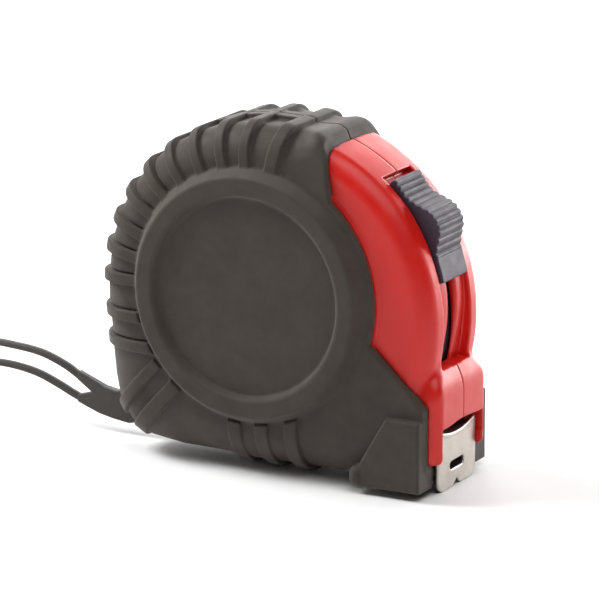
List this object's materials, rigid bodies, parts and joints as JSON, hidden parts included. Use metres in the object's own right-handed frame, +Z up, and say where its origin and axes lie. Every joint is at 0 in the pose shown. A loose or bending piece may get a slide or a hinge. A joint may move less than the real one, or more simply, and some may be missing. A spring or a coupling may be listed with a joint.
{
  "type": "pocket tape measure",
  "caption": "Pocket tape measure with a ribbed rubber jacket, red front housing, sliding thumb lock, sprung blade with end hook, belt clip and wrist strap.",
  "frame": {"origin": "on the resting plane, below the centre of the side discs, in the middle of the body's thickness", "axes": "+X forward to the nose and hook, +Y to the right side with the belt clip, +Z up"},
  "size_m": [0.1877, 0.0435, 0.078],
  "materials": {
    "jacket_rubber": "fine matt texture",
    "red_plastic": "gloss",
    "screw_steel": "satin zinc",
    "liner_film": "matt film",
    "inner_plastic": "satin acetal",
    "spring_steel": "blued satin",
    "blade_paint": "satin paint",
    "hook_steel": "satin nickel",
    "black_rubber": "matt",
    "lock_plastic": "matt",
    "clip_steel": "satin nickel",
    "strap_rubber": "satin moulded"
  },
  "bodies": {
    "case": {"armour_left": "jacket_rubber", "armour_right": "jacket_rubber", "case_left": "red_plastic", "case_right": "red_plastic", "case_screws": "screw_steel", "liner_left": "liner_film", "liner_right": "liner_film", "centre_post": "inner_plastic", "mouth_bumper": "black_rubber", "mouth_guide": "inner_plastic", "lock_detent": "spring_steel", "belt_clip_leaf": "clip_steel", "clip_screw": "screw_steel", "strap_pin": "screw_steel"},
    "lock": {"thumb_lock": "lock_plastic", "lock_arm": "lock_plastic", "brake_shoe": "black_rubber"},
    "reel": {"spool": "inner_plastic", "spool_cap": "inner_plastic", "power_spring": "spring_steel", "blade_coil": "blade_paint"},
    "blade": {"blade_lead": "blade_paint", "hook_rivets": "hook_steel"},
    "hook": {"end_hook": "hook_steel"},
    "clip": {"belt_clip_finger": "clip_steel"},
    "strap": {"strap_tab": "strap_rubber", "strap_loop": "strap_rubber"}
  },
  "joints": [
    {"name": "lock_slide", "type": "hinge", "parent": "case", "child": "lock", "pos_m": [0.001, 0, 0.035], "axis": [0, 1, 0], "range_deg": [0, 11.5]},
    {"name": "reel_spin", "type": "hinge", "parent": "case", "child": "reel", "pos_m": [0, 0, 0.0365], "axis": [0, -1, 0], "range_deg": [0, 86], "stiffness_Nm_per_rad": 0.02, "springref_deg": -171.89},
    {"name": "blade_pull", "type": "slide", "parent": "case", "child": "blade", "axis": [1, 0, 0], "range_m": [0, 0.0362]},
    {"name": "hook_play", "type": "slide", "parent": "blade", "child": "hook", "axis": [1, 0, 0], "range_m": [0, 0.0008]},
    {"name": "clip_flex", "type": "hinge", "parent": "case", "child": "clip", "pos_m": [0, 0.02125, 0.0612], "axis": [1, 0, 0], "range_deg": [0, 6], "stiffness_Nm_per_rad": 0.2},
    {"name": "strap_swing", "type": "hinge", "parent": "case", "child": "strap", "pos_m": [-0.0318, 0, 0.0072], "axis": [0, 1, 0], "range_deg": [0, 30]}
  ],
  "couplings": [
    {"joint": "blade_pull", "follows": "reel_spin", "m_per_rad": 0.024}
  ]
}
